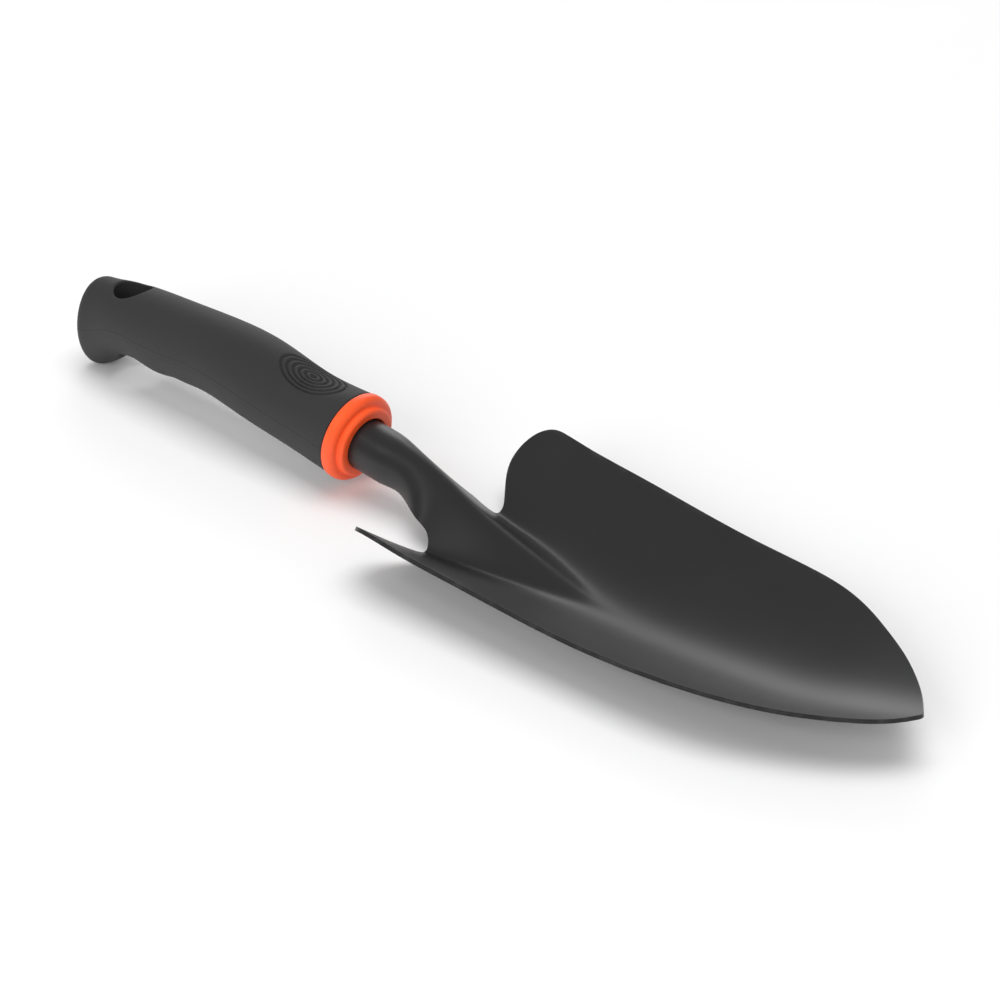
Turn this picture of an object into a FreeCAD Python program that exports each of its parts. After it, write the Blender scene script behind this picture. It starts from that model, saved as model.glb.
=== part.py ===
import FreeCAD, Part
import math
import os

doc = FreeCAD.newDocument("handTrowel")
sheet = doc.addObject("Spreadsheet::Sheet", "Sizes")

# Driving sizes in millimetres and degrees.
sizes = [
    ("gripLength", 111.3),
    ("gripFrontRadius", 13.5),
    ("gripNeckRadius", 12.6),
    ("gripPalmRadius", 13.0),
    ("gripWaistRadius", 12.2),
    ("gripFingerRadius", 12.2),
    ("gripTailRadius", 11.5),
    ("buttRadius", 10.5),
    ("buttHalfHeight", 15.1),
    ("gripWall", 2.4),
    ("neckRise", 2.5),
    ("palmRise", 6.4),
    ("waistRise", 8.6),
    ("fingerRise", 8.4),
    ("tailRise", 8.9),
    ("buttRise", 3.3),
    ("neckAngle", 8.8),
    ("thumbDishDepth", 1.0),
    ("thumbDishLength", 23.5),
    ("thumbDishWidth", 14.6),
    ("hangHoleRadius", 6.1),
    ("hangHoleInset", 17.9),
    ("hangSleeveWall", 1.4),
    ("collarRadius", 13.85),
    ("collarLength", 4.3),
    ("collarLipRadius", 11.1),
    ("collarLipLength", 1.9),
    ("shankRadius", 7.9),
    ("shankSeam", 1.6),
    ("shankDrop", 0.4),
    ("flareStart", 14.0),
    ("flareTrim", 0.2),
    ("shankLap", 0.1),
    ("shankInside", 52.0),
    ("sheet", 1.2),
    ("fitClearance", 0.03),
    ("keyWidth", 1.15),
    ("buttRounding", 4.0),
    ("collarRounding", 2.2),
    ("collarBackRounding", 0.5),
    ("lipRounding", 1.0),
    ("jointReach", 39.0),
    ("jointHalfWidth", 11.7),
    ("bladeReach", 207.6),
    ("bladeHalfWidth", 41.8),
    ("heelReach", 35.9),
    ("earRadius", 10.0),
    ("notchRadius", 4.9),
    ("shoulderReach", 45.0),
    ("ridgeReach", 96.0),
    ("ridgeHeight", 14.4),
    ("scoopFloor", 20.1),
    ("scoopRise", 12.3),
    ("lockHoleRadius", 2.5),
]
row = 1
for name, value in sizes:
    sheet.set("A" + str(row), name)
    sheet.set("B" + str(row), str(value))
    sheet.setAlias("B" + str(row), name)
    row = row + 1
doc.recompute()


def size(name):
    return float(sheet.get(name))


# Natural cubic spline through a short list of stations.
def smoothCurve(stations):
    count = len(stations)
    xs = [s[0] for s in stations]
    ys = [s[1] for s in stations]
    second = [0.0] * count
    work = [0.0] * count
    for i in range(1, count - 1):
        sig = (xs[i] - xs[i - 1]) / (xs[i + 1] - xs[i - 1])
        pivot = sig * second[i - 1] + 2.0
        second[i] = (sig - 1.0) / pivot
        slope = (ys[i + 1] - ys[i]) / (xs[i + 1] - xs[i]) - (ys[i] - ys[i - 1]) / (xs[i] - xs[i - 1])
        work[i] = (6.0 * slope / (xs[i + 1] - xs[i - 1]) - sig * work[i - 1]) / pivot
    for i in range(count - 2, -1, -1):
        second[i] = second[i] * second[i + 1] + work[i]

    def value(x):
        k = 0
        while k < count - 2 and x > xs[k + 1]:
            k = k + 1
        h = xs[k + 1] - xs[k]
        a = (xs[k + 1] - x) / h
        b = (x - xs[k]) / h
        bend = (a ** 3 - a) * second[k] + (b ** 3 - b) * second[k + 1]
        return a * ys[k] + b * ys[k + 1] + bend * h * h / 6.0

    return value


tilt = math.radians(size("neckAngle"))
reach = size("bladeReach")
joint = size("jointReach")
shoulder = size("shoulderReach")
ridgeReach = size("ridgeReach")
floor = size("scoopFloor")
rise = size("scoopRise")
sheetWall = size("sheet")
wideness = size("bladeHalfWidth") / 41.8


# Place along the blade from a share of the way between the shoulders and the tip.
def along(share):
    return shoulder + share * (reach - shoulder)


floorCurve = smoothCurve([
    (along(-0.10), -floor - 6.4),
    (along(-0.043), -floor - 5.4),
    (along(0.02), -floor - 3.4),
    (along(0.08), -floor - 2.2),
    (along(0.20), -floor - 1.5),
    (along(0.45), -floor - 2.9),
    (along(0.58), -floor - 2.6),
    (along(0.70), -floor - 1.4),
    (along(0.82), -floor + 0.8),
    (along(0.92), -floor + 4.3),
    (along(1.0), -floor + 7.5),
    (along(1.06), -floor + 10.1),
])
riseCurve = smoothCurve([
    (along(-0.10), rise - 4.0),
    (along(-0.043), rise - 4.0),
    (along(0.02), rise - 2.1),
    (along(0.08), rise - 0.8),
    (along(0.20), rise - 0.7),
    (along(0.45), rise - 1.7),
    (along(0.70), rise - 2.2),
    (along(0.92), rise - 1.7),
    (along(1.06), rise - 0.9),
])
roundCurve = smoothCurve([
    (along(-0.10), 10.3 * wideness),
    (along(-0.043), 10.3 * wideness),
    (along(0.02), 13.2 * wideness),
    (along(0.08), 15.8 * wideness),
    (along(0.20), 17.5 * wideness),
    (along(0.60), 17.5 * wideness),
    (along(1.06), 17.5 * wideness),
])
crestCurve = smoothCurve([
    (shoulder - 11.0, -floor + size("ridgeHeight") + 5.1),
    (shoulder - 5.0, -floor + size("ridgeHeight") + 2.2),
    (shoulder, -floor + size("ridgeHeight") - 0.1),
    (shoulder + 0.42 * (ridgeReach - shoulder), -floor + 0.5 * size("ridgeHeight") - 0.5),
    (ridgeReach, -floor - 3.1),
    (ridgeReach + 14.0, -floor - 8.0),
])
flankCurve = smoothCurve([
    (shoulder - 15.0, 1.0),
    (shoulder - 5.0, 1.0),
    (shoulder + 0.3 * (ridgeReach - shoulder), 0.8),
    (ridgeReach - 2.0, 0.6),
    (ridgeReach + 14.0, 0.6),
])
half = size("bladeHalfWidth")
widthCurve = smoothCurve([
    (along(0.02), half),
    (along(0.20), 0.983 * half),
    (along(0.45), 0.944 * half),
    (along(0.58), 0.911 * half),
    (along(0.70), 0.83 * half),
    (along(0.765), 0.735 * half),
    (along(0.82), 0.625 * half),
    (along(0.88), 0.48 * half),
    (along(0.93), 0.325 * half),
    (along(0.97), 0.165 * half),
    (along(0.995), 0.035 * half),
])


def scoopHeight(x, y):
    trough = floorCurve(x) + riseCurve(x) * (math.sqrt(1.0 + (y / roundCurve(x)) ** 2) - 1.0)
    ridge = crestCurve(x) - flankCurve(x) * (math.sqrt(y * y + 6.25) - 2.5)
    gap = trough - ridge
    return 0.5 * (trough + ridge + math.sqrt(gap * gap + 4.84))


def scoopPoint(x, y):
    return FreeCAD.Vector(x, y, scoopHeight(x, y))


shankRadius = size("shankRadius") + size("shankLap")
seamAngle = math.pi - 0.5 * size("shankSeam") / shankRadius
flareStart = size("flareStart")
jointHalf = size("jointHalfWidth")


def scoopSlope(y):
    return (scoopHeight(joint, y + 0.001) - scoopHeight(joint, y - 0.001)) / 0.002


crestSlope = (scoopHeight(joint + 0.05, 0.0) - scoopHeight(joint - 0.05, 0.0)) / 0.1


# Height of the top of the shank: level with the tube, then down to the ridge at the joint.
def shankTop(x):
    tubeTop = -x * math.tan(tilt) - size("shankDrop") + shankRadius / math.cos(tilt)
    if x <= flareStart:
        return tubeTop
    length = joint - flareStart
    t = (x - flareStart) / length
    startTop = -flareStart * math.tan(tilt) - size("shankDrop") + shankRadius / math.cos(tilt)
    ease = 3.0 * t ** 2 - 2.0 * t ** 3
    startSlope = -math.tan(tilt) * length * (t ** 3 - 2.0 * t ** 2 + t)
    endSlope = crestSlope * length * (t ** 3 - t ** 2)
    return (1.0 - ease) * startTop + ease * scoopHeight(joint, 0.0) + startSlope + endSlope


# Point on the outside of the shank: u runs from -1 at one seam edge to 1 at the other.
def shankPoint(x, u):
    if x >= joint:
        return scoopPoint(x, jointHalf * u)
    t = min(max((x - flareStart) / (joint - flareStart), 0.0), 1.0)
    opened = t * t * (3.0 - 2.0 * t)
    trim = 1.0 - size("flareTrim") * 4.0 * opened * (1.0 - opened)
    if opened == 0.0:
        turn = u * seamAngle
        y = shankRadius * math.sin(turn)
        drop = shankRadius / math.cos(tilt) * (1.0 - math.cos(turn))
        return FreeCAD.Vector(x, y, shankTop(x) - drop)
    steps = 160
    y = 0.0
    z = shankTop(x)
    reachU = abs(u)
    for i in range(steps):
        part = (i + 0.5) * reachU / steps
        slope = scoopSlope(jointHalf * part)
        angle = -(1.0 - opened) * seamAngle * part + opened * math.atan(slope)
        tubeStep = shankRadius * seamAngle
        footStep = jointHalf * math.sqrt(1.0 + slope * slope)
        step = ((1.0 - opened) * tubeStep + opened * footStep) * trim * reachU / steps
        y = y + math.cos(angle) * step
        z = z + math.sin(angle) * step * (opened + (1.0 - opened) / math.cos(tilt))
    if u < 0.0:
        y = -y
    return FreeCAD.Vector(x, y, z)


def spread(low, high, count):
    return [low + (high - low) * i / (count - 1.0) for i in range(count)]


# Closed section of even wall in the plane at x, from a depth under the curve inwards.
def sheetSection(pointAt, x, vs, depth, wall):
    upper = []
    lower = []
    for v in vs:
        here = pointAt(x, v)
        alongX = pointAt(x + 0.001, v) - pointAt(x - 0.001, v)
        alongV = pointAt(x, v + 0.0001) - pointAt(x, v - 0.0001)
        normal = alongX.cross(alongV)
        normal.normalize()
        across = FreeCAD.Vector(0.0, normal.y, normal.z)
        share = 1.0 / across.Length
        across.normalize()
        upper.append(here - across * share * depth)
        lower.append(here - across * share * (depth + wall))
    marks = spread(0.0, 1.0, len(vs))
    outer = Part.BSplineCurve()
    outer.interpolate(Points=upper, Parameters=marks)
    inner = Part.BSplineCurve()
    inner.interpolate(Points=lower, Parameters=marks)
    return Part.Wire([
        outer.toShape(),
        Part.LineSegment(upper[-1], lower[-1]).toShape(),
        inner.toShape(),
        Part.LineSegment(lower[0], upper[0]).toShape(),
    ])


def sheetSolid(pointAt, xs, vs, depth, wall):
    sections = [sheetSection(pointAt, x, vs, depth, wall) for x in xs]
    return Part.makeLoft(sections, True, False)


# Pressed blade with its ridge, cut to its outline.
bladeWide = half + 4.0
ys = spread(-bladeWide, bladeWide, 49)
xs = spread(size("heelReach") - 3.0, along(1.03), 33)
bladeBlank = sheetSolid(scoopPoint, xs, ys, 0.0, sheetWall)

heel = size("heelReach")
ear = size("earRadius")
notch = size("notchRadius")
notchReach = joint
notchOffset = jointHalf + notch - 0.1
notchTurn = math.radians(35.0)
earEnd = heel + 1.16 * ear
sidePoints = [FreeCAD.Vector(x, widthCurve(x), -60.0) for x in spread(earEnd, along(0.995), 14)]


def outlineEdges(side):
    def at(x, y):
        return FreeCAD.Vector(x, side * y, -60.0)

    inner = at(notchReach, notchOffset - notch)
    notchBottom = at(notchReach + notch, notchOffset)
    footX = notchReach + notch * math.cos(notchTurn)
    footY = notchOffset + notch * math.sin(notchTurn)
    heelTurn = at(heel, half - ear)
    heelCurve = Part.BezierCurve()
    heelCurve.setPoles([
        at(footX, footY),
        at(footX - 5.0 * math.sin(notchTurn), footY + 5.0 * math.cos(notchTurn)),
        at(heel, half - ear - 4.5),
        heelTurn,
    ])
    long = Part.BSplineCurve()
    long.interpolate([at(p.x, p.y) for p in sidePoints])
    tipSide = at(sidePoints[-1].x, sidePoints[-1].y)
    edges = [
        Part.Arc(inner, notchBottom, at(footX, footY)).toShape(),
        heelCurve.toShape(),
        Part.Arc(heelTurn, at(heel + 0.31 * ear, half - 0.33 * ear), at(earEnd, sidePoints[0].y)).toShape(),
        long.toShape(),
    ]
    return edges, inner, tipSide


leftEdges, leftInner, leftTip = outlineEdges(1)
rightEdges, rightInner, rightTip = outlineEdges(-1)
tipArc = Part.Arc(leftTip, FreeCAD.Vector(reach, 0.0, -60.0), rightTip).toShape()
backLine = Part.LineSegment(rightInner, leftInner).toShape()
outline = Part.Wire(Part.__sortEdges__(leftEdges + rightEdges + [tipArc, backLine]))
cutter = Part.Face(outline).extrude(FreeCAD.Vector(0.0, 0.0, 100.0))
bladePlate = bladeBlank.common(cutter)

# Rolled shank from inside the grip to the joint, where it runs on just under the skin of the blade.
lap = size("shankLap")
us = spread(-0.985, 0.985, 33)
stations = spread(-size("shankInside"), joint + 2.0, 34)
shankBlank = sheetSolid(shankPoint, stations, us, lap, sheetWall - 2.0 * lap)
pressing = shankBlank.fuse(bladePlate)
axis = FreeCAD.Vector(math.cos(tilt), 0.0, -math.sin(tilt))
axisStart = FreeCAD.Vector(0.0, 0.0, -size("shankDrop"))
lockAt = axisStart - axis * (0.62 * size("shankInside"))
lockLow = lockAt - FreeCAD.Vector(0.0, 20.0, 0.0)
across = FreeCAD.Vector(0.0, 1.0, 0.0)
pressing = pressing.cut(Part.makeCylinder(size("lockHoleRadius"), 40.0, lockLow, across))
blade = doc.addObject("Part::Feature", "bladeAndShank")
blade.Label = "blade_and_shank"
blade.Shape = pressing


# Places that the handle pieces share, as expressions of the driving sizes.
def named(text):
    return text.replace("@", "Sizes.")


def bound(piece, bindings):
    for prop, text in bindings:
        piece.setExpression(prop, named(text))
    return piece


def turned(piece, angleText):
    piece.setExpression("Placement.Rotation.Axis.x", "0")
    piece.setExpression("Placement.Rotation.Axis.y", "1")
    piece.setExpression("Placement.Rotation.Axis.z", "0")
    piece.setExpression("Placement.Rotation.Angle", named(angleText))
    return piece


# Stations along the grip: place, height, half height, half width and turn.
gripStations = [
    ("0 * @gripLength", "0", "@gripFrontRadius", "@gripFrontRadius", "@neckAngle"),
    ("-0.17 * @gripLength", "@neckRise", "@gripNeckRadius", "@gripNeckRadius", "0.97 * @neckAngle"),
    ("-0.342 * @gripLength", "@palmRise", "@gripPalmRadius", "@gripPalmRadius", "0.7 * @neckAngle"),
    ("-0.513 * @gripLength", "@waistRise", "@gripWaistRadius", "@gripWaistRadius", "0.25 * @neckAngle"),
    ("-0.66 * @gripLength", "@fingerRise", "@gripFingerRadius", "@gripFingerRadius", "0"),
    ("-0.80 * @gripLength", "@tailRise", "@gripTailRadius", "@gripTailRadius", "0"),
    (
        "-0.87 * @gripLength",
        "0.77 * @tailRise + 0.23 * @buttRise",
        "0.77 * @gripTailRadius + 0.23 * @buttHalfHeight",
        "0.5 * @gripTailRadius + 0.5 * @buttRadius",
        "0",
    ),
    (
        "-0.932 * @gripLength",
        "0.3 * @tailRise + 0.7 * @buttRise",
        "0.3 * @gripTailRadius + 0.7 * @buttHalfHeight",
        "@buttRadius",
        "0",
    ),
    ("-@gripLength", "@buttRise", "@buttHalfHeight", "@buttRadius", "0"),
]


def ringStack(name, stations, shrink):
    rings = []
    for i, (place, height, tall, wide, angle) in enumerate(stations):
        ring = doc.addObject("Part::Ellipse", name + "Ring" + str(i))
        bound(ring, [
            ("MajorRadius", tall + " - " + shrink),
            ("MinorRadius", wide + " - " + shrink),
            ("Placement.Base.x", place),
            ("Placement.Base.z", height),
        ])
        turned(ring, "90 + " + angle)
        rings.append(ring)
    stack = doc.addObject("Part::Loft", name)
    stack.Sections = rings
    stack.Solid = True
    stack.Ruled = False
    return stack


def rod(name, radius, height, start, place="0", rise="-@shankDrop"):
    piece = doc.addObject("Part::Cylinder", name)
    bound(piece, [
        ("Radius", radius),
        ("Height", height),
        ("Placement.Base.x", place + " + (" + start + ") * cos(@neckAngle)"),
        ("Placement.Base.z", rise + " - (" + start + ") * sin(@neckAngle)"),
    ])
    turned(piece, "90 + @neckAngle")
    return piece


def joined(name, kind, first, second):
    piece = doc.addObject(kind, name)
    piece.Base = first
    piece.Tool = second
    return piece


def rounded(name, base, edges):
    piece = doc.addObject("Part::Fillet", name)
    piece.Base = base
    piece.Edges = edges
    return piece


def holeThrough(name, radius):
    piece = doc.addObject("Part::Cylinder", name)
    bound(piece, [
        ("Radius", radius),
        ("Height", "60"),
        ("Placement.Base.x", "-@gripLength + @hangHoleInset"),
        ("Placement.Base.z", "-30"),
    ])
    return piece


coreEnd = "-@gripLength + @hangHoleInset - @hangHoleRadius - @hangSleeveWall - 1.6"
coreStations = gripStations[:6] + [
    (
        coreEnd,
        "0.5 * @tailRise + 0.5 * @buttRise",
        "0.6 * @gripTailRadius + 0.4 * @buttHalfHeight",
        "@buttRadius + 0.3",
        "0",
    ),
]
coreBar = ringStack("coreBar", coreStations, "@gripWall")
coreEye = joined("coreEye", "Part::Cut", coreBar, holeThrough("coreHole", "@hangHoleRadius + @hangSleeveWall"))

# Grip moulded over the core, with the thumb dish and the hang hole.
gripBar = ringStack("gripBar", gripStations, "0")
gripRound = rounded("gripRound", gripBar, [(3, size("buttRounding"), size("buttRounding"))])
gripShell = joined("gripShell", "Part::Cut", gripRound, coreEye)
dish = doc.addObject("Part::Ellipsoid", "thumbDish")
bound(dish, [
    ("Radius1", "7"),
    ("Radius2", "0.8 * @thumbDishLength"),
    ("Radius3", "2.4 * @thumbDishWidth"),
    ("Placement.Base.x", "-0.155 * @gripLength"),
    ("Placement.Base.z", "0.91 * @neckRise + @gripNeckRadius + 0.15 - @thumbDishDepth + 7"),
])
turned(dish, "@neckAngle")
gripDished = joined("gripDished", "Part::Cut", gripShell, dish)
grip = joined("gripCut", "Part::Cut", gripDished, holeThrough("hangHole", "@hangHoleRadius"))
grip.Label = "rubber_grip"

# Core with its collar, bored for the shank, and the plug that fills the shank.
collarRod = rod("collarRod", "@collarRadius", "@collarLength", "0", "0", "0")
collar = rounded("collarRound", collarRod, [
    (3, size("collarRounding"), size("collarRounding")),
    (2, size("collarBackRounding"), size("collarBackRounding")),
])
lipRod = rod("lipRod", "@collarLipRadius", "@collarLength + @collarLipLength", "0", "0", "0")
lip = rounded("lipRound", lipRod, [(3, size("lipRounding"), size("lipRounding"))])
body = doc.addObject("Part::MultiFuse", "coreBody")
body.Shapes = [coreEye, collar, lip]
boreStart = "-@shankInside - 2.2"
bore = rod(
    "shankBore",
    "@shankRadius + @fitClearance",
    "@shankInside + 2.2 + @collarLength + @collarLipLength + 2",
    boreStart,
)
hollow = joined("coreHollow", "Part::Cut", body, bore)
plug = rod(
    "shankPlug",
    "@shankRadius - @sheet - @fitClearance",
    "@shankInside + 3.2",
    boreStart + " - 1",
)
key = doc.addObject("Part::Box", "seamKey")
keyDrop = "(@shankRadius + 0.5)"
bound(key, [
    ("Length", "@shankInside + 2.2"),
    ("Width", "@keyWidth"),
    ("Height", "@sheet + 1.5"),
    ("Placement.Base.x", "(" + boreStart + ") * cos(@neckAngle) - " + keyDrop + " * sin(@neckAngle)"),
    ("Placement.Base.y", "-0.5 * @keyWidth"),
    (
        "Placement.Base.z",
        "-@shankDrop - (" + boreStart + ") * sin(@neckAngle) - " + keyDrop + " * cos(@neckAngle)",
    ),
])
turned(key, "@neckAngle")
pin = doc.addObject("Part::Cylinder", "lockPin")
bound(pin, [
    ("Radius", "@lockHoleRadius - @fitClearance"),
    ("Height", "2 * @shankRadius + 1"),
    ("Placement.Base.x", "-0.62 * @shankInside * cos(@neckAngle)"),
    ("Placement.Base.y", "-@shankRadius - 0.5"),
    ("Placement.Base.z", "-@shankDrop + 0.62 * @shankInside * sin(@neckAngle)"),
    ("Placement.Rotation.Axis.x", "1"),
    ("Placement.Rotation.Axis.y", "0"),
    ("Placement.Rotation.Axis.z", "0"),
    ("Placement.Rotation.Angle", "-90"),
])
core = doc.addObject("Part::MultiFuse", "coreWhole")
core.Shapes = [hollow, plug, key, pin]
core.Label = "handle_core"
doc.recompute()

# The tool lies on its blade and its butt: the turn that brings both to the floor.
pieces = [blade, grip, core]
handlePoints = grip.Shape.tessellate(0.02)[0]
bladePoints = [p for p in blade.Shape.tessellate(0.02)[0] if p.x > joint]


def lowest(points, angle):
    return min(-p.x * math.sin(angle) + p.z * math.cos(angle) for p in points)


low = math.radians(-15.0)
high = math.radians(15.0)
for i in range(40):
    middle = 0.5 * (low + high)
    if lowest(bladePoints, middle) > lowest(handlePoints, middle):
        low = middle
    else:
        high = middle
restAngle = 0.5 * (low + high)
allPoints = handlePoints + bladePoints
restX = [p.x * math.cos(restAngle) + p.z * math.sin(restAngle) for p in allPoints]
restZ = lowest(allPoints, restAngle)
shift = FreeCAD.Vector(-0.5 * (min(restX) + max(restX)), 0.0, -restZ)
rest = FreeCAD.Placement(shift, FreeCAD.Rotation(FreeCAD.Vector(0, 1, 0), math.degrees(restAngle)))
for piece in pieces:
    piece.Placement = rest
doc.recompute()
print("rest", round(math.degrees(restAngle), 3), shift)
hang = rest.multVec(FreeCAD.Vector(-size("gripLength") + size("hangHoleInset"), 0.0, size("tailRise")))
print("hang hole", hang, rest.Rotation.multVec(FreeCAD.Vector(0, 0, 1)))

# Every object is sound before it is written.
for item in doc.Objects:
    if "Invalid" in item.State or "Error" in item.State:
        raise RuntimeError(item.Name + " did not build")
os.makedirs("parts", exist_ok=True)
for piece in pieces:
    shape = piece.Shape
    if shape.isNull() or not shape.isValid() or len(shape.Solids) != 1:
        raise RuntimeError(piece.Label + " is not one sound solid")
    print(piece.Label, round(shape.Volume), shape.optimalBoundingBox(True, False))
    shape.exportStep("parts/" + piece.Label + ".step")
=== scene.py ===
import math

import bmesh
import bpy
from mathutils import Matrix, Vector


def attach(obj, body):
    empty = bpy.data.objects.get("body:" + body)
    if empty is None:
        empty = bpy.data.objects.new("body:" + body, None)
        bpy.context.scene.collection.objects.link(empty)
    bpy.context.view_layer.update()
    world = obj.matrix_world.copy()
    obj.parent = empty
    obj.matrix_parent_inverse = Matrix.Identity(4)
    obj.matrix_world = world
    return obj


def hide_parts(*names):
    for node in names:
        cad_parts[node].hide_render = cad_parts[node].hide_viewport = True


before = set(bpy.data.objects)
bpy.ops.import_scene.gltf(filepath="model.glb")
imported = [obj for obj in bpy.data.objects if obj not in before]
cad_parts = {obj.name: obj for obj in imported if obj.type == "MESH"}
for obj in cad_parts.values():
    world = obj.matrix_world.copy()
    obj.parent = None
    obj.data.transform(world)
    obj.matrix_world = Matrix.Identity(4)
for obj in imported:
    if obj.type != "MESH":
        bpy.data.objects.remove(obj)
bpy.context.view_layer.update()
print("frame loaded")

# Everything below is drawn in the tool's own frame, in millimetres: origin at the front of the
# grip, X towards the tip, Z up. This brings it to the frame's place, in metres.
rest = {"turn": -3.473, "shift": (-48.036, 0.0, 17.071)}
toFrame = (
    Matrix.Scale(0.001, 4)
    @ Matrix.Translation(rest["shift"])
    @ Matrix.Rotation(math.radians(rest["turn"]), 4, "Y")
)


def smoothCurve(stations):
    # Natural cubic spline through a short list of stations.
    count = len(stations)
    xs = [s[0] for s in stations]
    ys = [s[1] for s in stations]
    second = [0.0] * count
    work = [0.0] * count
    for i in range(1, count - 1):
        sig = (xs[i] - xs[i - 1]) / (xs[i + 1] - xs[i - 1])
        pivot = sig * second[i - 1] + 2.0
        second[i] = (sig - 1.0) / pivot
        slope = (ys[i + 1] - ys[i]) / (xs[i + 1] - xs[i]) - (ys[i] - ys[i - 1]) / (xs[i] - xs[i - 1])
        work[i] = (6.0 * slope / (xs[i + 1] - xs[i - 1]) - sig * work[i - 1]) / pivot
    for i in range(count - 2, -1, -1):
        second[i] = second[i] * second[i + 1] + work[i]

    def value(x):
        k = 0
        while k < count - 2 and x > xs[k + 1]:
            k += 1
        h = xs[k + 1] - xs[k]
        a = (xs[k + 1] - x) / h
        b = (x - xs[k]) / h
        bend = (a ** 3 - a) * second[k] + (b ** 3 - b) * second[k + 1]
        return a * ys[k] + b * ys[k + 1] + bend * h * h / 6.0

    return value


def spread(low, high, count):
    return [low + (high - low) * i / (count - 1.0) for i in range(count)]


def ease(t):
    t = min(max(t, 0.0), 1.0)
    return t * t * (3.0 - 2.0 * t)


def mappedGrid(bm, rows, columns, place):
    # A flat grid of rows by columns, each vertex moved to place(row, column).
    made = bmesh.ops.create_grid(bm, x_segments=rows - 1, y_segments=columns - 1, size=1.0)
    for vert in made["verts"]:
        i = round((vert.co.x + 1.0) * 0.5 * (rows - 1))
        j = round((vert.co.y + 1.0) * 0.5 * (columns - 1))
        vert.co = place(i, j)


def finishPiece(bm, name, sharpAngle=40.0):
    # The mesh goes to its place in the frame, with smooth faces and sharp creases.
    bm.transform(toFrame)
    limit = math.radians(sharpAngle)
    for face in bm.faces:
        face.smooth = True
    for edge in bm.edges:
        if len(edge.link_faces) == 2:
            edge.smooth = edge.calc_face_angle(0.0) < limit
    mesh = bpy.data.meshes.new(name)
    bm.to_mesh(mesh)
    bm.free()
    piece = bpy.data.objects.new(name, mesh)
    bpy.context.scene.collection.objects.link(piece)
    return piece


# Blade and shank: one pressed and rolled sheet.
bladeSizes = {
    "sheet": 1.2,
    "neckAngle": 8.8,
    "shankRadius": 7.9,
    "shankSeam": 1.6,
    "shankDrop": 0.4,
    "shankInside": 20.0,
    "flareStart": 14.0,
    "flareTrim": 0.2,
    "joint": 39.0,
    "jointHalf": 11.7,
    "shoulder": 45.0,
    "reach": 207.6,
    "halfWidth": 41.8,
    "heel": 35.9,
    "earCentre": (45.9, 31.8),
    "earRadius": 10.0,
    "notchRadius": 4.9,
    "notchTurn": 35.0,
    "ridgeReach": 96.0,
    "ridgeHeight": 14.4,
    "floor": 20.1,
    "rise": 12.3,
    "rimRounding": 0.35,
    "rimSteps": 3,
    "seamShare": 0.985,
    "tipStart": 188.0,
    "tipBow": 0.8,
    "lagLength": 34.0,
    "fadeLength": 26.0,
    "wingSpread": 0.12,
    "ridgeColumns": 30,
    "wingColumns": 20,
}
tilt = math.radians(bladeSizes["neckAngle"])
reach = bladeSizes["reach"]
joint = bladeSizes["joint"]
jointHalf = bladeSizes["jointHalf"]
shoulder = bladeSizes["shoulder"]
ridgeReach = bladeSizes["ridgeReach"]
floor = bladeSizes["floor"]
rise = bladeSizes["rise"]
half = bladeSizes["halfWidth"]
crown = bladeSizes["ridgeHeight"] - floor


def along(share):
    return shoulder + share * (reach - shoulder)


floorCurve = smoothCurve([
    (along(-0.10), -floor - 6.4),
    (along(-0.043), -floor - 5.4),
    (along(0.02), -floor - 3.4),
    (along(0.08), -floor - 2.2),
    (along(0.20), -floor - 1.5),
    (along(0.45), -floor - 2.9),
    (along(0.58), -floor - 2.6),
    (along(0.70), -floor - 1.4),
    (along(0.82), -floor + 0.8),
    (along(0.92), -floor + 4.3),
    (along(1.0), -floor + 7.5),
    (along(1.06), -floor + 10.1),
])
riseCurve = smoothCurve([
    (along(-0.10), rise - 4.0),
    (along(-0.043), rise - 4.0),
    (along(0.02), rise - 2.1),
    (along(0.08), rise - 0.8),
    (along(0.20), rise - 0.7),
    (along(0.45), rise - 1.7),
    (along(0.70), rise - 2.2),
    (along(0.92), rise - 1.7),
    (along(1.06), rise - 0.9),
])
roundCurve = smoothCurve([
    (along(-0.10), 10.3),
    (along(-0.043), 10.3),
    (along(0.02), 13.2),
    (along(0.08), 15.8),
    (along(0.20), 17.5),
    (along(0.60), 17.5),
    (along(1.06), 17.5),
])
crestCurve = smoothCurve([
    (shoulder - 11.0, crown + 5.1),
    (shoulder - 5.0, crown + 2.2),
    (shoulder, crown - 0.1),
    (shoulder + 0.42 * (ridgeReach - shoulder), 0.5 * bladeSizes["ridgeHeight"] - floor - 0.5),
    (ridgeReach, -floor - 3.1),
    (ridgeReach + 14.0, -floor - 8.0),
])
flankCurve = smoothCurve([
    (shoulder - 15.0, 1.0),
    (shoulder - 5.0, 1.0),
    (shoulder + 0.3 * (ridgeReach - shoulder), 0.8),
    (ridgeReach - 2.0, 0.6),
    (ridgeReach + 14.0, 0.6),
])
widthCurve = smoothCurve([
    (along(0.02), half),
    (along(0.20), 0.983 * half),
    (along(0.45), 0.944 * half),
    (along(0.58), 0.911 * half),
    (along(0.70), 0.83 * half),
    (along(0.765), 0.735 * half),
    (along(0.82), 0.625 * half),
    (along(0.88), 0.48 * half),
    (along(0.93), 0.325 * half),
    (along(0.97), 0.165 * half),
    (along(0.995), 0.035 * half),
])


def scoopHeight(x, y):
    trough = floorCurve(x) + riseCurve(x) * (math.sqrt(1.0 + (y / roundCurve(x)) ** 2) - 1.0)
    ridge = crestCurve(x) - flankCurve(x) * (math.sqrt(y * y + 6.25) - 2.5)
    gap = trough - ridge
    return 0.5 * (trough + ridge + math.sqrt(gap * gap + 4.84))


crestSlope = (scoopHeight(joint + 0.05, 0.0) - scoopHeight(joint - 0.05, 0.0)) / 0.1


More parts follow.
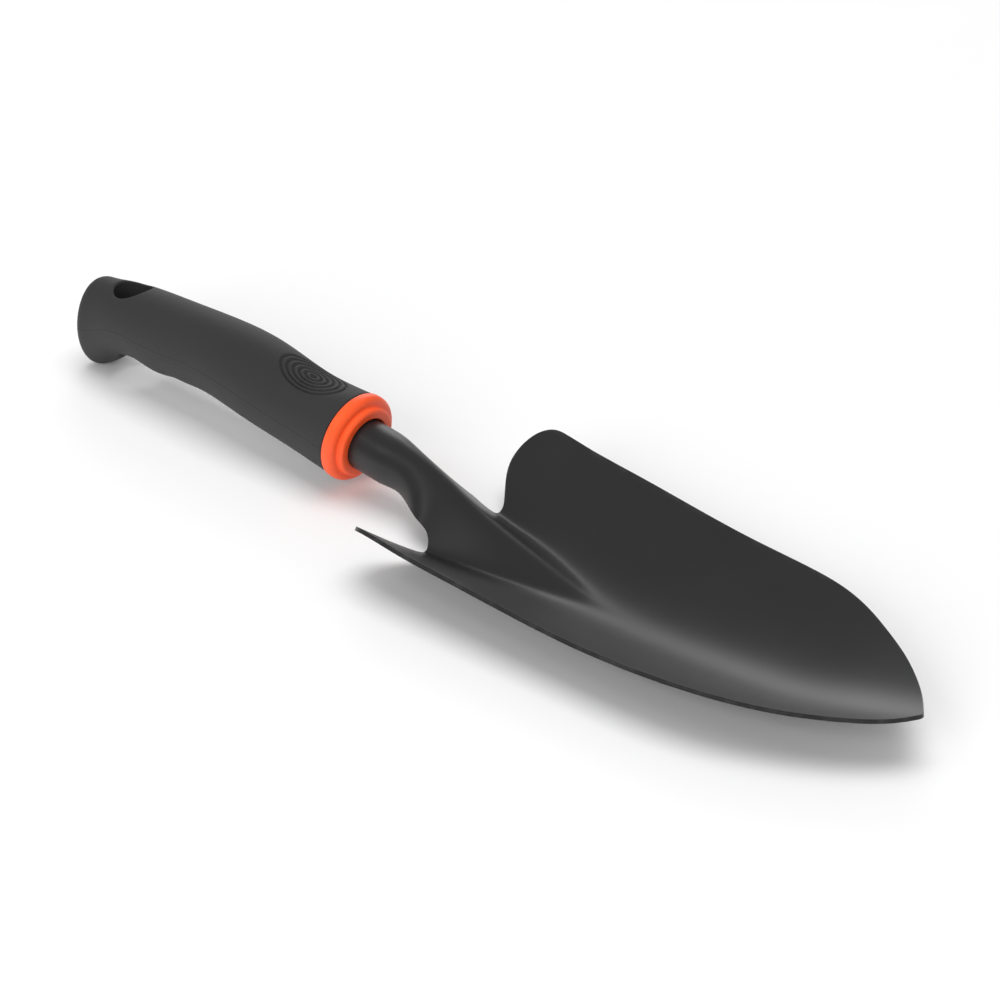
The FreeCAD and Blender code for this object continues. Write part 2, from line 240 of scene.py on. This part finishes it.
def shankTop(x):
    radius = bladeSizes["shankRadius"]
    start = bladeSizes["flareStart"]
    level = radius / math.cos(tilt) - bladeSizes["shankDrop"]
    if x <= start:
        return level - x * math.tan(tilt)
    length = joint - start
    t = (x - start) / length
    startSlope = -math.tan(tilt) * length * (t ** 3 - 2.0 * t ** 2 + t)
    endSlope = crestSlope * length * (t ** 3 - t ** 2)
    startTop = level - start * math.tan(tilt)
    return (1.0 - ease(t)) * startTop + ease(t) * scoopHeight(joint, 0.0) + startSlope + endSlope


def shankSection(x, columns):
    # One half of the rolled sheet at x, from its top to its seam edge: the tube unrolls into the ridge.
    radius = bladeSizes["shankRadius"]
    seamAngle = math.pi - 0.5 * bladeSizes["shankSeam"] / radius
    opened = ease((x - bladeSizes["flareStart"]) / (joint - bladeSizes["flareStart"]))
    trim = 1.0 - bladeSizes["flareTrim"] * 4.0 * opened * (1.0 - opened)
    y = 0.0
    z = shankTop(x)
    points = [(y, z)]
    share = bladeSizes["seamShare"]
    fine = 5
    for i in range(columns * fine):
        part = (i + 0.5) / (columns * fine) * share
        foot = jointHalf * part
        slope = (scoopHeight(joint, foot + 0.001) - scoopHeight(joint, foot - 0.001)) / 0.002
        angle = opened * math.atan(slope) - (1.0 - opened) * seamAngle * part
        rolled = radius * seamAngle
        pressed = jointHalf * math.sqrt(1.0 + slope * slope)
        step = ((1.0 - opened) * rolled + opened * pressed) * trim * share / (columns * fine)
        y += math.cos(angle) * step
        z += math.sin(angle) * step * (opened + (1.0 - opened) / math.cos(tilt))
        if (i + 1) % fine == 0:
            points.append((y, z))
    return points


notchReach = joint
notchRadius = bladeSizes["notchRadius"]
notchOffset = jointHalf + notchRadius - 0.1
notchEnd = notchReach + notchRadius


tipStart = bladeSizes["tipStart"]


def stripHalf(x):
    # Half the width of the middle strip: it follows the notch, then runs to the tip.
    if x < notchEnd:
        return notchOffset - math.sqrt(max(notchRadius ** 2 - (x - notchReach) ** 2, 0.0))
    return min(notchOffset, notchOffset * widthCurve(x) / half * 1.08)


def tipBow(x, f):
    # The last rows bow forward, so that the tip is round.
    forward = min(max((x - tipStart) / (along(0.995) - tipStart), 0.0), 1.0)
    return bladeSizes["tipBow"] * (1.0 - f * f) * forward ** 2


notchRows = [notchReach + notchRadius * math.sin(math.radians(a)) for a in range(10, 91, 10)]
shankRows = spread(-bladeSizes["shankInside"], joint, 62)
ridgeRows = spread(notchEnd, ridgeReach + 6.0, 58)[1:]
scoopRows = spread(ridgeReach + 6.0, along(0.995), 62)[1:]
stripRows = shankRows + notchRows + ridgeRows + scoopRows
wingRows = [notchEnd] + ridgeRows + scoopRows


def blendedStrip(bm):
    columns = bladeSizes["ridgeColumns"]
    sections = {}

    def place(i, j):
        x = stripRows[i]
        k = j - columns
        side = -1.0 if k < 0 else 1.0
        if x < joint:
            if i not in sections:
                sections[i] = shankSection(x, columns)
            y, z = sections[i][abs(k)]
            return Vector((x, side * y, z))
        y = stripHalf(x) * k / columns
        x = x + tipBow(x, y / widthCurve(x)) if x > tipStart else x
        return Vector((x, y, scoopHeight(x, y)))

    mappedGrid(bm, len(stripRows), 2 * columns + 1, place)


def rearPoint(t):
    # The wing's rear edge, from the bottom of the notch past the heel to the middle of the ear.
    ear = bladeSizes["earCentre"]
    last = math.radians(bladeSizes["notchTurn"])
    turn = last * min(t / 0.2, 1.0)
    foot = Vector((notchReach + notchRadius * math.cos(turn), notchOffset + notchRadius * math.sin(turn)))
    if t < 0.2:
        return foot
    top = Vector((bladeSizes["heel"], ear[1]))
    if t < 0.65:
        s = (t - 0.2) / 0.45
        lead = Vector((-math.sin(last), math.cos(last))) * 5.0
        handles = (foot, foot + lead, top - Vector((0.0, 4.5)), top)
        weights = ((1 - s) ** 3, 3 * s * (1 - s) ** 2, 3 * s * s * (1 - s), s ** 3)
        return sum((h * w for h, w in zip(handles, weights)), Vector((0.0, 0.0)))
    turn = math.pi - math.radians(45.0) * (t - 0.65) / 0.35
    radius = bladeSizes["earRadius"]
    return Vector((ear[0] + radius * math.cos(turn), ear[1] + radius * math.sin(turn)))


def sidePoint(x):
    # The wing's outer edge for the row that starts at x on the middle strip.
    ear = bladeSizes["earCentre"]
    corner = rearPoint(1.0)
    lag = (notchEnd - corner.x) * (1.0 - min((x - notchEnd) / bladeSizes["lagLength"], 1.0)) ** 2
    reachX = x - lag
    if reachX < ear[0]:
        bulge = math.sqrt(bladeSizes["earRadius"] ** 2 - (reachX - ear[0]) ** 2)
        return Vector((reachX, ear[1] + bulge))
    return Vector((reachX, widthCurve(reachX)))


def wing(bm, side):
    columns = bladeSizes["wingColumns"]
    uneven = bladeSizes["wingSpread"] / (2.0 * math.pi)
    first = Vector((notchEnd, notchOffset))
    corner = rearPoint(1.0)

    def place(i, j):
        x = wingRows[i]
        t = j / (columns - 1.0)
        t = t + uneven * math.sin(2.0 * math.pi * t)
        inner = Vector((x, stripHalf(x)))
        point = inner.lerp(sidePoint(x), t)
        fade = 1.0 - ease((x - notchEnd) / bladeSizes["fadeLength"])
        point += (rearPoint(t) - first.lerp(corner, t)) * fade
        if x > tipStart:
            point.x += tipBow(x, min(point.y / widthCurve(x), 1.0))
        return Vector((point.x, side * point.y, scoopHeight(point.x, point.y)))

    mappedGrid(bm, len(wingRows), columns, place)


def makeBlade():
    bm = bmesh.new()
    blendedStrip(bm)
    wing(bm, 1.0)
    wing(bm, -1.0)
    bmesh.ops.remove_doubles(bm, verts=bm.verts, dist=0.02)
    bmesh.ops.recalc_face_normals(bm, faces=bm.faces)
    front = max(bm.faces, key=lambda f: f.calc_center_median().x)
    if front.normal.z < 0.0:
        bmesh.ops.reverse_faces(bm, faces=bm.faces)
    rimLayer = bm.verts.layers.float.new("rim")
    for vert in bm.verts:
        vert[rimLayer] = 1.0 if vert.is_boundary else 0.0
    piece = finishPiece(bm, "bladeAndShank", 180.0)
    wall = piece.modifiers.new("wall", "SOLIDIFY")
    wall.thickness = bladeSizes["sheet"] * 0.001
    wall.offset = -1.0
    wall.use_even_offset = True
    rim = piece.modifiers.new("rim", "BEVEL")
    rim.width = bladeSizes["rimRounding"] * 0.001
    rim.segments = bladeSizes["rimSteps"]
    rim.limit_method = "ANGLE"
    rim.angle_limit = math.radians(50.0)
    rim.harden_normals = True
    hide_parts("blade_and_shank")
    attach(piece, "root")
    print("blade and shank made")
    return piece


# Grip: a soft moulded sleeve with a thumb pad, finger swells, a flared butt and a hang hole.
gripSizes = {
    "length": 111.3,
    "buttRounding": 4.0,
    "frontRounding": 0.5,
    "padCentre": -17.3,
    "padHalfLength": 11.7,
    "padHalfWidth": 7.1,
    "padDish": 1.0,
    "ringCount": 5,
    "ringDepth": 0.6,
    "ringStart": 1.12,
    "ringWidth": 0.34,
    "padEnd": -36.0,
    "swell": 0.7,
    "swellPlace": -79.0,
    "swellLength": 5.5,
    "hollowPlace": -69.0,
    "hollowLength": 4.5,
    "hollowShare": 0.8,
    "partingRise": 0.12,
    "holeRadius": 6.1,
    "holePlace": -93.4,
    "holeRounding": 0.8,
}
gripLength = gripSizes["length"]
gripStations = [
    (0.0, 0.0, 13.5, 13.5, 8.8),
    (-0.17, 2.5, 12.6, 12.6, 8.54),
    (-0.342, 6.4, 13.0, 13.0, 6.16),
    (-0.513, 8.6, 12.2, 12.2, 2.2),
    (-0.66, 8.4, 12.2, 12.2, 0.0),
    (-0.80, 8.9, 11.5, 11.5, 0.0),
    (-0.87, 7.6, 12.3, 11.0, 0.0),
    (-0.932, 5.0, 14.0, 10.5, 0.0),
    (-1.0, 3.3, 15.1, 10.5, 0.0),
]
ordered = [(s[0] * gripLength,) + s[1:] for s in reversed(gripStations)]
gripHeight = smoothCurve([(s[0], s[1]) for s in ordered])
gripTall = smoothCurve([(s[0], s[2]) for s in ordered])
gripWide = smoothCurve([(s[0], s[3]) for s in ordered])
gripTilt = smoothCurve([(s[0], s[4]) for s in ordered])


def gripTiltAt(x):
    return math.radians(gripTilt(x)) * ease((x + 0.72 * gripLength) / (0.1 * gripLength))


def padRelief(x, turn, radius):
    # Dish and oval grooves of the thumb pad.
    lengthwise = (x - gripSizes["padCentre"]) / gripSizes["padHalfLength"]
    sidewise = radius * turn / gripSizes["padHalfWidth"]
    out = math.sqrt(lengthwise ** 2 + sidewise ** 2)
    depth = -gripSizes["padDish"] * ease(1.35 - out) * 0.5
    if out < gripSizes["ringStart"]:
        pitch = 1.0 / (gripSizes["ringCount"] + 0.35)
        phase = (1.0 - out) / pitch
        offset = abs(phase - round(phase))
        depth -= gripSizes["ringDepth"] * (1.0 - ease(offset / gripSizes["ringWidth"]))
    return depth


def gripRelief(x, turn, radius):
    relief = 0.0
    if abs(turn) < 1.1 and x > gripSizes["padEnd"]:
        relief += padRelief(x, turn, radius)
    under = max(-math.cos(turn), 0.0) ** 1.5
    s = gripSizes
    hollow = s["hollowShare"] * s["swell"]
    relief += s["swell"] * under * math.exp(-((x - s["swellPlace"]) / s["swellLength"]) ** 2)
    relief -= hollow * under * math.exp(-((x - s["hollowPlace"]) / s["hollowLength"]) ** 2)
    if abs(abs(turn) - 0.5 * math.pi) < 0.004:
        relief += gripSizes["partingRise"]
    return relief


def gripPoint(x, turn, inset):
    lean = gripTiltAt(x)
    relief = gripRelief(x, turn, gripWide(x)) * max(1.0 - 0.25 * inset, 0.0)
    tall = max(gripTall(x) - inset, 0.0) + relief
    wide = max(gripWide(x) - inset, 0.0) + relief
    up = Vector((math.sin(lean), 0.0, math.cos(lean)))
    middle = Vector((x, 0.0, gripHeight(x)))
    return middle + up * (tall * math.cos(turn)) + Vector((0.0, wide * math.sin(turn), 0.0))


def gripColumns():
    # Angles round the grip from the top: close over the pad and at the parting lines.
    pad = spread(0.0, 0.82, 46)
    side = spread(0.82, 0.5 * math.pi - 0.03, 12)[1:]
    parting = [0.5 * math.pi - 0.015, 0.5 * math.pi, 0.5 * math.pi + 0.015, 0.5 * math.pi + 0.03]
    under = spread(0.5 * math.pi + 0.03, math.pi, 24)[1:]
    right = pad + side + parting + under
    return [-a for a in reversed(right[1:])] + right


def gripRows():
    # Each row: place along the grip and how far the skin is drawn in.
    rows = [(0.0, gripTall(0.0)), (0.0, 6.0), (0.0, 2.0)]
    rounding = gripSizes["frontRounding"]
    for a in spread(90.0, 0.0, 5):
        turn = math.radians(a)
        rows.append((-rounding * (1.0 - math.sin(turn)), rounding * (1.0 - math.cos(turn))))
    pad = spread(-1.2, -34.0, 128)
    body = spread(-34.0, -gripLength + gripSizes["buttRounding"], 74)[1:]
    rows += [(x, 0.0) for x in pad + body]
    butt = gripSizes["buttRounding"]
    for a in spread(0.0, 90.0, 10)[1:]:
        turn = math.radians(a)
        rows.append((-gripLength + butt - butt * math.sin(turn), butt * (1.0 - math.cos(turn))))
    for inset in (5.5, 7.5, 9.5, gripTall(-gripLength)):
        rows.append((-gripLength, inset))
    return rows


def makeHoleCutter():
    # Straight bore that flares at both skins by the rounding of the rim.
    bm = bmesh.new()
    centre = gripSizes["holePlace"]
    radius = gripSizes["holeRadius"]
    rounding = gripSizes["holeRounding"]
    profile = [(0.0, 4.0), (radius + rounding * 0.9, 4.0), (radius + rounding * 0.9, 0.6)]
    for a in spread(12.0, 90.0, 7):
        turn = math.radians(a)
        profile.append((radius + rounding * (1.0 - math.sin(turn)), -rounding * (1.0 - math.cos(turn))))
    steps = 72
    rows = profile + [(r, None, z) for r, z in reversed(profile)]

    def place(i, j):
        entry = rows[i]
        turn = 2.0 * math.pi * j / steps
        out = entry[0]
        x = centre + out * math.cos(turn)
        y = out * math.sin(turn)
        rim = gripTall(x) * math.sqrt(1.0 - (y / gripWide(x)) ** 2)
        if len(entry) == 2:
            return Vector((x, y, gripHeight(x) + rim + entry[1]))
        return Vector((x, y, gripHeight(x) - rim - entry[2]))

    mappedGrid(bm, len(rows), steps + 1, place)
    bmesh.ops.remove_doubles(bm, verts=bm.verts, dist=0.01)
    bmesh.ops.recalc_face_normals(bm, faces=bm.faces)
    return finishPiece(bm, "holeCutter")


def applied(piece):
    # The piece with its modifiers worked into its mesh.
    bpy.context.view_layer.update()
    graph = bpy.context.evaluated_depsgraph_get()
    mesh = bpy.data.meshes.new_from_object(piece.evaluated_get(graph))
    piece.modifiers.clear()
    piece.data = mesh
    return piece


def makeGrip():
    bm = bmesh.new()
    columns = gripColumns()
    rows = gripRows()

    def place(i, j):
        x, inset = rows[i]
        return gripPoint(x, columns[j], inset)

    mappedGrid(bm, len(rows), len(columns), place)
    bmesh.ops.remove_doubles(bm, verts=bm.verts, dist=0.005)
    bmesh.ops.recalc_face_normals(bm, faces=bm.faces)
    piece = finishPiece(bm, "rubberGrip")
    cutter = makeHoleCutter()
    cut = piece.modifiers.new("hangHole", "BOOLEAN")
    cut.operation = "DIFFERENCE"
    cut.solver = "EXACT"
    cut.object = cutter
    applied(piece)
    bpy.data.objects.remove(cutter)
    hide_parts("rubber_grip")
    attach(piece, "root")
    print("grip made")
    return piece


# Collar: the stepped front of the moulded core.
collarSizes = {
    "backGap": 0.25,
    "radius": 13.85,
    "length": 4.25,
    "frontRounding": 2.1,
    "crease": 0.35,
    "lipRadius": 11.05,
    "lipLength": 6.2,
    "lipRounding": 1.1,
    "boreRadius": 7.98,
    "boreRounding": 0.4,
}


def arcPoints(centre, radius, start, end, count):
    # Points (along, out) on an arc, with angles from the axis direction.
    points = []
    for a in spread(start, end, count):
        turn = math.radians(a)
        points.append((centre[0] + radius * math.cos(turn), centre[1] + radius * math.sin(turn)))
    return points


def makeCollar():
    s = collarSizes
    profile = [(-1.0, 0.0), (-1.0, 10.0), (s["backGap"], 10.0)]
    profile += arcPoints((s["backGap"] + 0.6, s["radius"] - 0.6), 0.6, 180.0, 90.0, 6)
    front = s["frontRounding"]
    profile += arcPoints((s["length"] - front, s["radius"] - front), front, 90.0, 8.0, 12)
    crease = s["crease"]
    profile += arcPoints((s["length"] + crease, s["lipRadius"] + crease), crease, 200.0, 268.0, 5)
    lip = s["lipRounding"]
    profile += arcPoints((s["lipLength"] - lip, s["lipRadius"] - lip), lip, 88.0, 4.0, 8)
    rim = s["boreRounding"]
    profile += arcPoints((s["lipLength"] - rim, s["boreRadius"] + rim), rim, 0.0, -90.0, 5)
    profile += [(1.0, s["boreRadius"]), (1.0, 0.0)]
    bm = bmesh.new()
    verts = [bm.verts.new((a, 0.0, r)) for a, r in profile]
    edges = [bm.edges.new(pair) for pair in zip(verts[:-1], verts[1:])]
    bmesh.ops.spin(
        bm, geom=verts + edges, cent=(0, 0, 0), axis=(1, 0, 0), dvec=(0, 0, 0),
        angle=2.0 * math.pi, steps=128, use_merge=True, use_duplicate=False,
    )
    bmesh.ops.remove_doubles(bm, verts=bm.verts, dist=0.001)
    bmesh.ops.recalc_face_normals(bm, faces=bm.faces)
    bm.transform(Matrix.Rotation(tilt, 4, "Y"))
    piece = finishPiece(bm, "collar", 50.0)
    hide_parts("handle_core")
    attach(piece, "root")
    print("collar made")
    return piece


# Shared effects: fine grain, slow mottling, and wear near a marked rim.
def effectGroup(name, inputs, outputs):
    group = bpy.data.node_groups.new(name, "ShaderNodeTree")
    for label, kind, value in inputs:
        socket = group.interface.new_socket(name=label, in_out="INPUT", socket_type=kind)
        if value is not None:
            socket.default_value = value
    for label, kind in outputs:
        group.interface.new_socket(name=label, in_out="OUTPUT", socket_type=kind)
    entry = group.nodes.new("NodeGroupInput")
    result = group.nodes.new("NodeGroupOutput")
    return group, entry, result


def grainGroup():
    group, entry, result = effectGroup(
        "fineGrain",
        [
            ("Coordinates", "NodeSocketVector", None),
            ("Scale", "NodeSocketFloat", 2500.0),
            ("Roughness", "NodeSocketFloat", 0.5),
        ],
        [("Height", "NodeSocketFloat"), ("Mottle", "NodeSocketFloat")],
    )
    links = group.links
    fine = group.nodes.new("ShaderNodeTexNoise")
    fine.inputs["Detail"].default_value = 3.0
    slow = group.nodes.new("ShaderNodeTexNoise")
    slow.inputs["Scale"].default_value = 45.0
    slow.inputs["Detail"].default_value = 4.0
    links.new(entry.outputs["Coordinates"], fine.inputs["Vector"])
    links.new(entry.outputs["Scale"], fine.inputs["Scale"])
    links.new(entry.outputs["Roughness"], fine.inputs["Roughness"])
    links.new(entry.outputs["Coordinates"], slow.inputs["Vector"])
    links.new(fine.outputs["Fac"], result.inputs["Height"])
    links.new(slow.outputs["Fac"], result.inputs["Mottle"])
    return group


def wearGroup():
    group, entry, result = effectGroup(
        "rimWear",
        [
            ("Coordinates", "NodeSocketVector", None),
            ("Rim", "NodeSocketFloat", 0.0),
            ("Amount", "NodeSocketFloat", 0.3),
        ],
        [("Mask", "NodeSocketFloat")],
    )
    links = group.links
    broken = group.nodes.new("ShaderNodeTexNoise")
    broken.inputs["Scale"].default_value = 260.0
    broken.inputs["Detail"].default_value = 5.0
    sharpen = group.nodes.new("ShaderNodeMapRange")
    sharpen.inputs["From Min"].default_value = 0.45
    sharpen.inputs["From Max"].default_value = 0.75
    both = group.nodes.new("ShaderNodeMath")
    both.operation = "MULTIPLY"
    scaled = group.nodes.new("ShaderNodeMath")
    scaled.operation = "MULTIPLY"
    links.new(entry.outputs["Coordinates"], broken.inputs["Vector"])
    links.new(broken.outputs["Fac"], sharpen.inputs["Value"])
    links.new(sharpen.outputs["Result"], both.inputs[0])
    links.new(entry.outputs["Rim"], both.inputs[1])
    links.new(both.outputs["Value"], scaled.inputs[0])
    links.new(entry.outputs["Amount"], scaled.inputs[1])
    links.new(scaled.outputs["Value"], result.inputs["Mask"])
    return group


finishes = {
    "powderCoat": {
        "dark": (0.012, 0.012, 0.0125), "light": (0.016, 0.016, 0.0165),
        "worn": (0.06, 0.06, 0.062), "grain": 2600.0, "bump": 0.10, "bumpDepth": 0.00004,
        "smooth": 0.34, "rough": 0.40, "wear": 0.5,
    },
    "softRubber": {
        "dark": (0.024, 0.024, 0.0245), "light": (0.030, 0.030, 0.0305),
        "worn": (0.05, 0.05, 0.05), "grain": 3800.0, "bump": 0.22, "bumpDepth": 0.00005,
        "smooth": 0.62, "rough": 0.72, "wear": 0.0,
    },
    "orangePlastic": {
        "dark": (0.97, 0.092, 0.018), "light": (1.0, 0.112, 0.022),
        "worn": (1.0, 0.3, 0.1), "grain": 3000.0, "bump": 0.08, "bumpDepth": 0.00004,
        "smooth": 0.40, "rough": 0.48, "wear": 0.0,
    },
}


def makeFinish(name, grain, wear):
    f = finishes[name]
    material = bpy.data.materials.new(name)
    material.use_nodes = True
    nodes = material.node_tree.nodes
    links = material.node_tree.links
    shader = nodes["Principled BSDF"]
    place = nodes.new("ShaderNodeTexCoord")
    grainNode = nodes.new("ShaderNodeGroup")
    grainNode.node_tree = grain
    grainNode.inputs["Scale"].default_value = f["grain"]
    links.new(place.outputs["Object"], grainNode.inputs["Coordinates"])
    tone = nodes.new("ShaderNodeMix")
    tone.data_type = "RGBA"
    tone.inputs[6].default_value = f["dark"] + (1.0,)
    tone.inputs[7].default_value = f["light"] + (1.0,)
    links.new(grainNode.outputs["Mottle"], tone.inputs[0])
    colour = tone.outputs[2]
    if f["wear"] > 0.0:
        rim = nodes.new("ShaderNodeAttribute")
        rim.attribute_name = "rim"
        wearNode = nodes.new("ShaderNodeGroup")
        wearNode.node_tree = wear
        wearNode.inputs["Amount"].default_value = f["wear"]
        links.new(place.outputs["Object"], wearNode.inputs["Coordinates"])
        links.new(rim.outputs["Fac"], wearNode.inputs["Rim"])
        worn = nodes.new("ShaderNodeMix")
        worn.data_type = "RGBA"
        worn.inputs[7].default_value = f["worn"] + (1.0,)
        links.new(wearNode.outputs["Mask"], worn.inputs[0])
        links.new(colour, worn.inputs[6])
        colour = worn.outputs[2]
    links.new(colour, shader.inputs["Base Color"])
    gloss = nodes.new("ShaderNodeMapRange")
    gloss.inputs["To Min"].default_value = f["smooth"]
    gloss.inputs["To Max"].default_value = f["rough"]
    links.new(grainNode.outputs["Mottle"], gloss.inputs["Value"])
    links.new(gloss.outputs["Result"], shader.inputs["Roughness"])
    bump = nodes.new("ShaderNodeBump")
    bump.inputs["Strength"].default_value = f["bump"]
    bump.inputs["Distance"].default_value = f["bumpDepth"]
    links.new(grainNode.outputs["Height"], bump.inputs["Height"])
    links.new(bump.outputs["Normal"], shader.inputs["Normal"])
    return material


blade = makeBlade()
grip = makeGrip()
collar = makeCollar()
grain = grainGroup()
wear = wearGroup()
for piece, finish in ((blade, "powderCoat"), (grip, "softRubber"), (collar, "orangePlastic")):
    piece.data.materials.clear()
    piece.data.materials.append(makeFinish(finish, grain, wear))
print("finishes made")

# Floor, light and camera.
studio = {
    "floorSize": 8.0,
    "floorColour": (0.93, 0.93, 0.93, 1.0),
    "sky": (1.0, 1.0, 1.0, 1.0),
    "skyStrength": 0.36,
}
stageMesh = bmesh.new()
bmesh.ops.create_grid(stageMesh, x_segments=1, y_segments=1, size=0.5 * studio["floorSize"])
floorData = bpy.data.meshes.new("floor")
stageMesh.to_mesh(floorData)
stageMesh.free()
floorPiece = bpy.data.objects.new("floor", floorData)
bpy.context.scene.collection.objects.link(floorPiece)
paper = bpy.data.materials.new("paper")
paper.use_nodes = True
paper.node_tree.nodes["Principled BSDF"].inputs["Base Color"].default_value = studio["floorColour"]
paper.node_tree.nodes["Principled BSDF"].inputs["Roughness"].default_value = 0.9
floorData.materials.append(paper)

world = bpy.data.worlds.new("studio")
world.use_nodes = True
world.node_tree.nodes["Background"].inputs["Color"].default_value = studio["sky"]
world.node_tree.nodes["Background"].inputs["Strength"].default_value = studio["skyStrength"]
bpy.context.scene.world = world
bpy.context.scene.view_settings.view_transform = "Standard"

# The overhead and front lamps lift the floor and the grip without a mirror image in the blade.
lamps = {
    "overhead": {
        "place": (0.0, 0.1, 3.0), "aim": (0.0, 0.1, 0.0), "size": 2.4, "power": 52.0, "mirrored": False,
    },
    "back": {
        "place": (-1.15, 1.3, 0.72), "aim": (0.05, 0.0, 0.0), "size": 1.0, "power": 6.6, "mirrored": True,
    },
    "front": {
        "place": (0.3, -1.5, 0.7), "aim": (0.0, 0.0, 0.02), "size": 1.0, "power": 15.0, "mirrored": False,
    },
    "side": {
        "place": (-0.6, -1.1, 1.5), "aim": (0.0, 0.0, 0.0), "size": 0.35, "power": 1.6, "mirrored": True,
    },
}
for name, lamp in lamps.items():
    light = bpy.data.lights.new(name, "AREA")
    light.shape = "SQUARE"
    light.size = lamp["size"]
    light.energy = lamp["power"]
    holder = bpy.data.objects.new(name, light)
    holder.visible_glossy = lamp["mirrored"]
    place = Vector(lamp["place"])
    turn = (Vector(lamp["aim"]) - place).to_track_quat("-Z", "Y").to_matrix().to_4x4()
    holder.matrix_world = Matrix.Translation(place) @ turn
    bpy.context.scene.collection.objects.link(holder)

view = {"place": (648.3, -662.7, 470.3), "azimuth": 41.66, "elevation": 28.0, "lens": 126.0}
a = math.radians(view["azimuth"])
e = math.radians(view["elevation"])
turn = Matrix((
    (math.cos(a), -math.sin(a) * math.sin(e), math.sin(a) * math.cos(e)),
    (math.sin(a), math.cos(a) * math.sin(e), -math.cos(a) * math.cos(e)),
    (0.0, math.cos(e), math.sin(e)),
)).to_4x4()
lens = bpy.data.cameras.new("camera")
lens.lens = view["lens"]
lens.sensor_width = 36.0
lens.sensor_fit = "HORIZONTAL"
lens.clip_start = 0.05
lens.clip_end = 50.0
camera = bpy.data.objects.new("camera", lens)
bpy.context.scene.collection.objects.link(camera)
placed = toFrame @ Matrix.Translation(view["place"]) @ turn
where, facing, stretch = placed.decompose()
camera.matrix_world = Matrix.Translation(where) @ facing.to_matrix().to_4x4()
bpy.context.scene.camera = camera
print("studio set")
